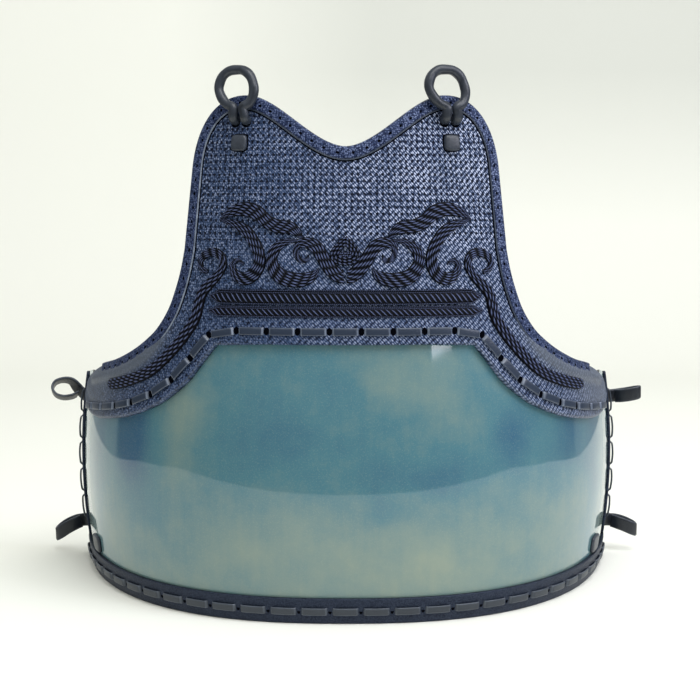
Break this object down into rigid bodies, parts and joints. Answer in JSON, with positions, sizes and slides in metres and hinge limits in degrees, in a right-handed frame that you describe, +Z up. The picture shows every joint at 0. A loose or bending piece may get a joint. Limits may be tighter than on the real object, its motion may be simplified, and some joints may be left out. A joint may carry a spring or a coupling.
{
  "type": "kendo breastplate",
  "caption": "Rigid lacquered trunk shell, open at the back, with a leather chest piece laced over its top, raised cord scrolls and leather loops for the ties.",
  "frame": {"origin": "on the ground under the middle of the whole object", "axes": "+Z up as it stands on its bottom edge, the front faces -Y, +X to the right seen from the front"},
  "size_m": [0.5006, 0.224, 0.3949],
  "materials": {
    "lacquer": "mottled blue-green and olive-gold lacquer, high gloss",
    "leather": "dark indigo embossed leather, semi-matt",
    "cordage": "twisted indigo cord, sewn down in parallel rows",
    "lace": "smooth charcoal leather lace and cord"
  },
  "bodies": {
    "root": {"torso_shell": "lacquer", "chest_plate": "leather", "chest_edge_binding": "leather", "upper_band": "cordage", "lower_band": "cordage", "centre_motif": "cordage", "chest_lace": "lace", "bottom_binding": "leather", "bottom_lace": "lace", "wing_band_left": "cordage", "scroll_left": "cordage", "side_binding_left": "leather", "side_lace_left": "lace", "shoulder_loop_left": "lace", "loop_stub_left": "lace", "side_loop_upper_left": "lace", "side_loop_lower_left": "lace", "wing_band_right": "cordage", "scroll_right": "cordage", "side_binding_right": "leather", "side_lace_right": "lace", "shoulder_loop_right": "lace", "loop_stub_right": "lace", "side_loop_upper_right": "lace", "side_loop_lower_right": "lace"}
  },
  "joints": []
}
